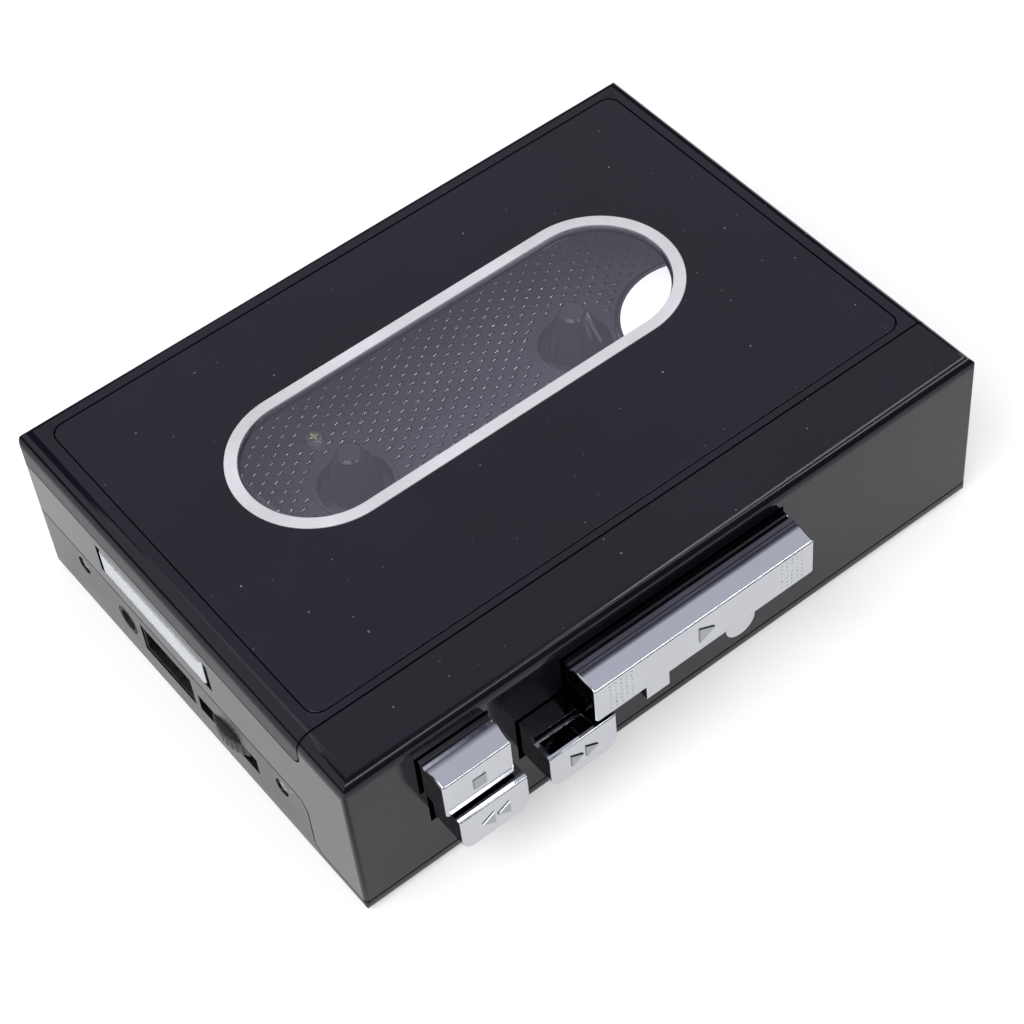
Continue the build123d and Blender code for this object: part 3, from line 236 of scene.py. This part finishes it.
def dust_mask(tree, coords, scale, size):
    """0 to 1 on sparse specks that lie on faces looking up."""
    props = {"voronoi_dimensions": "2D"}
    cells = node(tree, "ShaderNodeTexVoronoi", props=props, inputs={"Scale": scale})
    tree.links.new(coords, cells.inputs["Vector"])
    pick = node(tree, "ShaderNodeSeparateColor")
    tree.links.new(cells.outputs["Color"], pick.inputs["Color"])
    share = math_node(tree, "POWER", pick.outputs["Red"], 3.0)
    reach = math_node(tree, "MULTIPLY", share, size * scale)
    speck = math_node(tree, "LESS_THAN", cells.outputs["Distance"], reach)
    bright = math_node(tree, "POWER", pick.outputs["Green"], 2.0)
    up = math_node(tree, "GREATER_THAN", facing(tree, "Z"), 0.85)
    return math_node(tree, "MULTIPLY", math_node(tree, "MULTIPLY", speck, bright), up)


def scratch_mask(tree, coords, turn):
    """0 to 1 on a few hair-fine scratches running one way."""
    inputs = {"Rotation": (0, 0, turn), "Scale": (1, 0.03, 1)}
    mapping = node(tree, "ShaderNodeMapping", inputs=inputs)
    tree.links.new(coords, mapping.inputs["Vector"])
    fine = noise(tree, mapping.outputs["Vector"], 900.0, 1.0)
    gate = noise(tree, coords, 55.0, 1.0)
    lines = ramp(tree, fine, [(0.77, 0.0), (0.8, 1.0)])
    patches = ramp(tree, gate, [(0.55, 0.0), (0.7, 1.0)])
    return math_node(tree, "MULTIPLY", lines, patches)


# ------------------------------------------------------------------ materials
CHROME = (0.5, 0.51, 0.54)
GLOSS_BLACK, SATIN_BLACK = (0.005, 0.005, 0.01), (0.022, 0.022, 0.024)
# Dark key colour: the real stem moulding on rear tops, and painted shade on key flanks and backs.
DARK_MOULDING_AND_PAINTED_SHADE = ((0.07, 0.07, 0.085), (0.1, 0.1, 0.12))
GLOSS_IOR, SATIN_IOR, LENS_IOR = 1.35, 1.48, 1.49
# Duller copy of the door plastic on faces turned along X: painted shade.
SHADED_FLANK_IOR, SHADED_FLANK_ROUGHNESS = 1.18, 0.3
DUST_SCALE, DUST_SIZE, DUST_TONE, DUST_ROUGHNESS = 230.0, 0.0002, (0.17, 0.17, 0.17), (0.7, 0.7, 0.7)
SCRATCH_TURN, SCRATCH_STRENGTH, SCRATCH_TONE = 0.5, 0.1, (0.12, 0.12, 0.13)
PEEL_SCALE, PEEL_HEIGHT = 420.0, 0.4 * MM
GRAIN_HEIGHT, METAL_GRAIN_HEIGHT = 0.05 * MM, 0.04 * MM
# Emission on the bay label: painted light that brightens the paper inside the shaded bay.
LABEL_PAINTED_LIGHT = 0.9
LENS_HAZE = 0.045


def gloss_plastic(name, base, rough, peel=0.02, dust=True, painted_shade_flanks=False):
    """Moulded gloss plastic: faint orange peel, uneven polish, dust and hair scratches; optionally a
    duller copy on faces turned along X as painted shade.
    """
    material, tree, shader = new_material(name, IOR=GLOSS_IOR)
    coords = object_coords(tree)
    smear = noise(tree, coords, 34.0, 4.0, 0.6)
    tone = mottle(tree, smear, base, 0.8, 1.2)
    gloss = ramp(tree, smear, [(0.3, rough * 0.8), (0.72, rough * 1.25)])
    if dust:
        specks = dust_mask(tree, coords, DUST_SCALE, DUST_SIZE)
        hairs = scratch_mask(tree, coords, SCRATCH_TURN)
        scratches = math_node(tree, "MULTIPLY", hairs, SCRATCH_STRENGTH)
        tone = mix_colour(tree, specks, tone, DUST_TONE)
        tone = mix_colour(tree, scratches, tone, SCRATCH_TONE)
        gloss = mix_colour(tree, specks, gloss, DUST_ROUGHNESS)
    tree.links.new(tone, shader.inputs["Base Color"])
    tree.links.new(gloss, shader.inputs["Roughness"])
    bump(tree, shader, noise(tree, coords, PEEL_SCALE, 2.0), peel, PEEL_HEIGHT)
    # Faces turned along X blend into a duller, less reflective copy: painted shade on the sides.
    if painted_shade_flanks:
        painted_shade_flank = ramp(tree, turned_to(tree, "X"), [(0.75, 0.0), (0.97, 1.0)])
        inputs = {"IOR": SHADED_FLANK_IOR, "Roughness": SHADED_FLANK_ROUGHNESS}
        shaded_copy = node(tree, "ShaderNodeBsdfPrincipled", inputs=inputs)
        tree.links.new(tone, shaded_copy.inputs["Base Color"])
        output = next(n for n in tree.nodes if n.type == "OUTPUT_MATERIAL")
        blend = mix_shaders(tree, painted_shade_flank, shader, shaded_copy)
        tree.links.new(blend.outputs[0], output.inputs["Surface"])
    return material


def satin_plastic(name, base, rough, grain=1800.0, depth=0.12):
    """Matt moulded plastic with a fine spark-eroded grain."""
    material, tree, shader = new_material(name, IOR=SATIN_IOR)
    coords = object_coords(tree)
    broad = noise(tree, coords, 60.0, 4.0)
    fine = noise(tree, coords, grain, 2.0)
    tone = mottle(tree, broad, base, 0.85, 1.15, (0.3, 0.75))
    tree.links.new(tone, shader.inputs["Base Color"])
    set_roughness(tree, shader, fine, rough, 0.85, 1.15, (0.3, 0.7))
    bump(tree, shader, fine, depth, GRAIN_HEIGHT)
    return material


def metal(name, base, rough, grain=900.0, depth=0.05, stretch=(1, 1, 1)):
    """Metal with fine grain, drawn out along the axes where stretch is small."""
    material, tree, shader = new_material(name, Metallic=1.0)
    coords = object_coords(tree)
    mapping = node(tree, "ShaderNodeMapping", inputs={"Scale": stretch})
    tree.links.new(coords, mapping.inputs["Vector"])
    fine = noise(tree, mapping.outputs["Vector"], grain, 3.0)
    broad = noise(tree, coords, 90.0, 3.0)
    tree.links.new(mottle(tree, broad, base, 0.92), shader.inputs["Base Color"])
    set_roughness(tree, shader, fine, rough, 0.7, 1.3, (0.25, 0.75))
    bump(tree, shader, fine, depth, METAL_GRAIN_HEIGHT)
    return material


def key_metal(name, base, rough, dark_behind, fade):
    """Polished key caps; level tops behind dark_behind are the dark stem moulding, while flanks and
    backs take the same dark colour as painted shade.
    """
    material, tree, shader = new_material(name, Metallic=1.0)
    coords = object_coords(tree)
    split = node(tree, "ShaderNodeSeparateXYZ")
    tree.links.new(coords, split.inputs["Vector"])
    reach = math_node(tree, "SUBTRACT", split.outputs["Y"], dark_behind - fade)
    behind = math_node(tree, "DIVIDE", reach, fade, clamp=True)
    level = math_node(tree, "GREATER_THAN", turned_to(tree, "Z"), 0.96)
    rear = math_node(tree, "MULTIPLY", behind, level)
    # Faces turned along X and faces looking back take the dark colour as painted shade.
    painted_shade_flank = math_node(tree, "GREATER_THAN", turned_to(tree, "X"), 0.94)
    back = math_node(tree, "GREATER_THAN", facing(tree, "Y"), 0.5)
    dark = math_node(tree, "MAXIMUM", math_node(tree, "MAXIMUM", rear, painted_shade_flank), back)
    broad = noise(tree, coords, 90.0, 3.0)
    tone = mottle(tree, broad, base, 0.95)
    shade = ramp(tree, broad, list(zip((0.3, 0.7), DARK_MOULDING_AND_PAINTED_SHADE)))
    tree.links.new(mix_colour(tree, dark, tone, shade), shader.inputs["Base Color"])
    fine = noise(tree, coords, 500.0, 3.0)
    set_roughness(tree, shader, fine, rough, 0.7, 1.3, (0.25, 0.75))
    bump(tree, shader, fine, 0.04, METAL_GRAIN_HEIGHT)
    return material


def paper_label(name, base):
    """White printed paper seen through the window: fibres, and an emission that is painted light,
    brightening the paper inside the shaded bay.
    """
    material, tree, shader = new_material(name, Roughness=0.6)
    fibre = noise(tree, object_coords(tree), 900.0, 4.0)
    tone = mottle(tree, fibre, base, 0.96)
    tree.links.new(tone, shader.inputs["Base Color"])
    # The emission is painted light on the label, not a lamp.
    tree.links.new(tone, shader.inputs["Emission Color"])
    shader.inputs["Emission Strength"].default_value = LABEL_PAINTED_LIGHT
    bump(tree, shader, fibre, 0.1, METAL_GRAIN_HEIGHT)
    return material


def lens_material():
    """Clear plastic window: see-through with a faint smoky veil and a glossy face."""
    material = bpy.data.materials.new("lens")
    material.use_nodes = True
    tree = material.node_tree
    tree.nodes.clear()
    output = node(tree, "ShaderNodeOutputMaterial")
    through = node(tree, "ShaderNodeBsdfTransparent", inputs={"Color": (0.93, 0.93, 0.95, 1)})
    veil = node(tree, "ShaderNodeBsdfDiffuse")
    smoke = noise(tree, object_coords(tree), 40.0)
    smoke_tone = ramp(tree, smoke, [(0.3, (0.42, 0.42, 0.52)), (0.7, (0.5, 0.5, 0.62))])
    tree.links.new(smoke_tone, veil.inputs["Color"])
    hazy = mix_shaders(tree, LENS_HAZE, through, veil)
    face = node(tree, "ShaderNodeBsdfGlossy", inputs={"Roughness": 0.04})
    fresnel = node(tree, "ShaderNodeFresnel", inputs={"IOR": LENS_IOR})
    geometry = node(tree, "ShaderNodeNewGeometry")
    outside = math_node(tree, "SUBTRACT", 1.0, geometry.outputs["Backfacing"])
    glint = math_node(tree, "MULTIPLY", fresnel.outputs[0], outside)
    whole = mix_shaders(tree, glint, hazy, face)
    tree.links.new(whole.outputs[0], output.inputs["Surface"])
    return material


def make_materials():
    """Every finish by name: one for each material slot, then those of single nodes and pieces."""
    return {
        "case_gloss": gloss_plastic("case_gloss", (0.005, 0.005, 0.009), 0.13),
        "case_satin": gloss_plastic("case_satin", (0.006, 0.006, 0.009), 0.24, 0.05, dust=False),
        "panel_gloss": gloss_plastic("panel_gloss", GLOSS_BLACK, 0.08),
        "silver_trim": satin_plastic("silver_trim", (0.58, 0.58, 0.61), 0.4, 2600.0, 0.05),
        "key_chrome": key_metal("key_chrome", CHROME, 0.07, *STOP_DARK),
        "latch_silver": metal("latch_silver", (0.62, 0.64, 0.68), 0.3, 1800.0, 0.12),
        "bay_plastic": satin_plastic("bay_plastic", (0.06, 0.06, 0.078), 0.3),
        "spindle_plastic": gloss_plastic("spindle_plastic", (0.03, 0.03, 0.038), 0.14, 0.0, dust=False),
        "steel": metal("steel", (0.56, 0.56, 0.57), 0.28, 1200.0, 0.08, stretch=(1, 0.1, 1)),
        "spring_steel": metal("spring_steel", (0.66, 0.66, 0.66), 0.2),
        "brass": metal("brass", (0.72, 0.62, 0.38), 0.26, 1400.0, 0.08),
        "rubber": satin_plastic("rubber", (0.02, 0.02, 0.02), 0.75, 1500.0, 0.2),
        "label_white": paper_label("label_white", (0.95, 0.95, 0.95)),
        "board_green": satin_plastic("board_green", (0.02, 0.14, 0.05), 0.35, 900.0, 0.1),
        "component_black": satin_plastic("component_black", SATIN_BLACK, 0.45),
        "gear_white": satin_plastic("gear_white", (0.75, 0.75, 0.7), 0.4),
        "knob_black": satin_plastic("knob_black", SATIN_BLACK, 0.4),
        "lens": lens_material(),
        "play_key": key_metal("play_key", CHROME, 0.07, *PLAY_DARK),
        "lower_key": key_metal("lower_key", CHROME, 0.07, *LOWER_DARK),
        "port_black": satin_plastic("port_black", (0.008, 0.008, 0.01), 0.6, 1500.0, 0.05),
        "port_steel": metal("port_steel", (0.12, 0.12, 0.13), 0.35),
        "screw_brass": metal("screw_brass", (1.0, 0.95, 0.82), 0.42, 1400.0, 0.1),
        # Door plastic, with painted shade on its side faces.
        "door_gloss": gloss_plastic("door_gloss", GLOSS_BLACK, 0.08, painted_shade_flanks=True),
        "key_symbol": metal("key_symbol", (0.33, 0.34, 0.36), 0.22, 1600.0, 0.05),
        "pip": metal("pip", (0.3, 0.3, 0.33), 0.2, 2400.0, 0.02),
    }


# Nodes whose finish is not simply the one named after their slot.
OWN_FINISH = {
    "door_frame": "door_gloss",
    "play_key": "play_key",
    "fast_forward_key": "lower_key",
    "rewind_key": "lower_key",
    "headphone_jack": "port_black",
    "usb_shell": "port_steel",
    "usb_tongue": "port_black",
    "deck_screws": "screw_brass",
}
# Turned pieces keep the normals they come with; thin trim keeps its edges.
SPINDLES = ("supply_spindle", "takeup_spindle")
THIN_TRIM = ("window_lens", "window_ring", "key_springs", "latch_spring", "battery_spring", "bay_label")


def round_edges(ob):
    """A small radius on every sharp edge."""
    edge = ob.modifiers.new("edge", "BEVEL")
    edge.width = EDGE_RADIUS
    edge.segments = 2
    edge.limit_method = "ANGLE"
    edge.angle_limit = EDGE_ANGLE
    edge.harden_normals = False
    edge.use_clamp_overlap = True


def shade_smooth(mesh):
    """Smooth shading on every face."""
    for polygon in mesh.polygons:
        polygon.use_smooth = True


def dress_nodes(mats):
    """Every CAD node gets its slot's finish, smooth faces and a small edge radius."""
    slots = {s["node"]: s["material_slot"] for s in frame["record"]["subparts"]}
    for name, ob in nodes.items():
        ob.data.materials.clear()
        ob.data.materials.append(mats[OWN_FINISH.get(name, slots[name])])
        shade_smooth(ob.data)
        if name in SPINDLES:
            continue
        weld = ob.modifiers.new("weld", "WELD")
        weld.merge_threshold = WELD_REACH
        if name not in THIN_TRIM:
            round_edges(ob)
        smooth = ob.modifiers.new("smooth", "WEIGHTED_NORMAL")
        smooth.keep_sharp = True
        ob.data.set_sharp_from_angle(angle=SMOOTH_ANGLE)


# ------------------------------------------------------------------ small pieces
def mesh_object(name, build, material, body):
    """A piece built by a bmesh function, riding on a body."""
    bm = bmesh.new()
    build(bm)
    mesh = bpy.data.meshes.new(name)
    bm.to_mesh(mesh)
    bm.free()
    mesh.materials.append(material)
    shade_smooth(mesh)
    mesh.set_sharp_from_angle(angle=PIECE_SMOOTH_ANGLE)
    ob = bpy.data.objects.new(name, mesh)
    bpy.context.scene.collection.objects.link(ob)
    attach(ob, body)


def join_rows(bm, low, high):
    """Faces between two closed rows of as many vertices."""
    count = len(low)
    for step in range(count):
        nxt = (step + 1) % count
        bm.faces.new((low[step], low[nxt], high[nxt], high[step]))


def add_pip(bm, centre):
    """One low oval pip, standing on its centre."""
    cos_turn, sin_turn = math.cos(PIP_TURN), math.sin(PIP_TURN)
    rows = []
    for ring in range(PIP_RINGS):
        slope = math.pi / 2 * ring / PIP_RINGS
        row = []
        for step in range(PIP_AROUND):
            angle = 2 * math.pi * step / PIP_AROUND
            along = 0.5 * PIP_LENGTH * math.cos(slope) * math.cos(angle)
            across = 0.5 * PIP_WIDTH * math.cos(slope) * math.sin(angle)
            x = along * cos_turn - across * sin_turn
            y = along * sin_turn + across * cos_turn
            row.append(bm.verts.new(centre + Vector((x, y, PIP_HEIGHT * math.sin(slope)))))
        rows.append(row)
    top = bm.verts.new(centre + Vector((0, 0, PIP_HEIGHT)))
    for low, high in zip(rows, rows[1:]):
        join_rows(bm, low, high)
    for step in range(PIP_AROUND):
        bm.faces.new((rows[-1][step], rows[-1][(step + 1) % PIP_AROUND], top))
    bm.faces.new(list(reversed(rows[0])))


def make_pips(mats):
    """The staggered field of pips moulded into the bay floor."""
    low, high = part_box("bay_deck")
    label_low, label_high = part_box("bay_label")
    label = (label_low + label_high) / 2
    label_radius = (label_high.x - label_low.x) / 2
    keep_clear = [(label.x, label.y, label_radius + LABEL_CLEAR)]
    for name in SPINDLES:
        a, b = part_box(name)
        keep_clear.append(((a.x + b.x) / 2, (a.y + b.y) / 2, SPINDLE_CLEAR))
    keep_clear += [(x * MM, y * MM, SCREW_CLEAR) for x, y in DECK_SCREWS]

    def on_floor(at):
        across = low.x + BAY_MARGIN < at.x < high.x - BAY_MARGIN
        along = low.y + BAY_MARGIN < at.y < high.y - BAY_MARGIN
        covered = any((at.x - x) ** 2 + (at.y - y) ** 2 < r * r for x, y, r in keep_clear)
        return across and along and not covered

    def build(bm):
        for i in range(-PIP_REACH, PIP_REACH + 1):
            for j in range(-PIP_REACH, PIP_REACH + 1):
                at = i * PIP_STEPS[0] + j * PIP_STEPS[1] + PIP_START
                if on_floor(at):
                    add_pip(bm, Vector((at.x, at.y, label_low.z - FLOOR_BITE)))

    mesh_object("bay_floor_pips", build, mats["pip"], "case")


def make_label_rim(mats):
    """A low moulded ring on the bay floor round the label."""
    low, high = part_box("bay_label")
    centre = (low + high) / 2
    radius = (high.x - low.x) / 2
    foot = Vector((centre.x, centre.y, low.z - FLOOR_BITE))

    def build(bm):
        rows = []
        for step in range(RIM_STEPS):
            angle = 2 * math.pi * step / RIM_STEPS
            out = Vector((math.cos(angle), math.sin(angle), 0))
            places = [foot + out * (radius + r * MM) + Vector((0, 0, h * MM)) for r, h in RIM_SECTION]
            rows.append([bm.verts.new(place) for place in places])
        for step in range(RIM_STEPS):
            join_rows(bm, rows[step], rows[(step + 1) % RIM_STEPS])
        bmesh.ops.recalc_face_normals(bm, faces=bm.faces)

    mesh_object("bay_label_rim", build, mats["pip"], "case")


def prism(bm, outline, y):
    """A flat shape in XZ with tapered sides, raised towards -Y from y."""
    back = [bm.verts.new((x, y + SYMBOL_BITE, z)) for x, z in outline]
    centre = Vector((sum(x for x, _ in outline), sum(z for _, z in outline))) / len(outline)
    front = []
    for corner in outline:
        away = Vector(corner) - centre
        away *= 1 - SYMBOL_TAPER / away.length
        front.append(bm.verts.new((centre.x + away.x, y - SYMBOL_HEIGHT, centre.y + away.y)))
    join_rows(bm, back, front)
    bm.faces.new(front)
    bm.faces.new(list(reversed(back)))
    bmesh.ops.recalc_face_normals(bm, faces=bm.faces)


def square(x, z, size):
    """A square's corners in XZ, round (x, z)."""
    half = size * 0.5
    return [(x - half, z - half), (x + half, z - half), (x + half, z + half), (x - half, z + half)]


def triangle(x, z, size, way):
    """A triangle's corners in XZ: it points to +X when way is 1 and to -X when it is -1."""
    foot, tip = x - way * size * 0.5, x + way * size * 0.5
    return [(foot, z - size * 0.55), (tip, z), (foot, z + size * 0.55)]


def triangle_pair(x, z, way):
    """Two triangles side by side, pointing the same way."""
    return [triangle(x + side * PAIR_OFFSET, z, SYMBOL_SIZE, way) for side in (-1, 1)]


def make_symbol(name, body, y, outlines, mats):
    """Raised shapes on the front of one key, at y."""
    def build(bm):
        for outline in outlines:
            prism(bm, outline, y)

    mesh_object(name, build, mats["key_symbol"], body)


def make_key_symbols(mats):
    """Plain raised transport symbols on the fronts of the keys."""
    low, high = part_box("stop_key")
    middle = (low + high) / 2
    stop = square(middle.x, middle.z - STOP_DROP, SYMBOL_SIZE)
    make_symbol("stop_symbol", "stop", low.y, [stop], mats)
    low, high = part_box("play_key")
    middle = (low + high) / 2
    play = triangle(middle.x, high.z - PLAY_BELOW_TOP, SYMBOL_SIZE * PLAY_SCALE, 1)
    make_symbol("play_symbol", "play", low.y, [play], mats)
    low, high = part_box("rewind_key")
    middle = (low + high) / 2
    rewind = triangle_pair(middle.x, middle.z - REWIND_DROP, -1)
    make_symbol("rewind_symbol", "rewind", low.y, rewind, mats)
    low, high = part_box("fast_forward_key")
    middle = (low + high) / 2
    forward = triangle_pair(middle.x, low.z + FORWARD_ABOVE_FOOT, 1)
    make_symbol("fast_forward_symbol", "fast_forward", low.y, forward, mats)


# ------------------------------------------------------------------ studio
def add_area(name, at, size, power, colour):
    """A rectangular soft light aimed at the object."""
    data = bpy.data.lights.new(name, "AREA")
    data.shape = "RECTANGLE"
    data.size, data.size_y = size
    data.energy = power
    data.color = colour
    lamp = bpy.data.objects.new(name, data)
    lamp.location = at
    lamp.rotation_euler = (AIM - Vector(at)).to_track_quat("-Z", "Y").to_euler()
    bpy.context.scene.collection.objects.link(lamp)


def floor_material():
    """Matt pale floor with a glow of its own, which shows as white."""
    material, tree, shader = new_material("floor", Roughness=0.9)
    clouds = noise(tree, object_coords(tree), 3.0)
    tone = ramp(tree, clouds, [(0.3, (0.62, 0.62, 0.62)), (0.7, (0.65, 0.65, 0.65))])
    tree.links.new(tone, shader.inputs["Base Color"])
    shader.inputs["Emission Color"].default_value = (1, 1, 1, 1)
    shader.inputs["Emission Strength"].default_value = FLOOR_GLOW
    return material


def make_floor():
    """A floor far wider than the camera sees."""
    corners = [(x * FLOOR_HALF, y * FLOOR_HALF, 0) for x, y in ((-1, -1), (1, -1), (1, 1), (-1, 1))]
    mesh = bpy.data.meshes.new("floor")
    mesh.from_pydata(corners, [], [(0, 1, 2, 3)])
    mesh.materials.append(floor_material())
    floor = bpy.data.objects.new("floor", mesh)
    bpy.context.scene.collection.objects.link(floor)


def make_studio():
    """Pale floor, a dim room, and soft lights to the left, above, behind and in front."""
    make_floor()
    world = bpy.data.worlds.new("studio")
    world.use_nodes = True
    background = world.node_tree.nodes["Background"]
    background.inputs["Color"].default_value = ROOM_COLOUR
    background.inputs["Strength"].default_value = ROOM_STRENGTH
    bpy.context.scene.world = world
    for light in LIGHTS:
        add_area(*light)
    view = bpy.context.scene.view_settings
    view.view_transform = "Standard"
    view.look = "None"


make_camera()
materials = make_materials()
dress_nodes(materials)
make_pips(materials)
make_label_rim(materials)
make_key_symbols(materials)
make_studio()
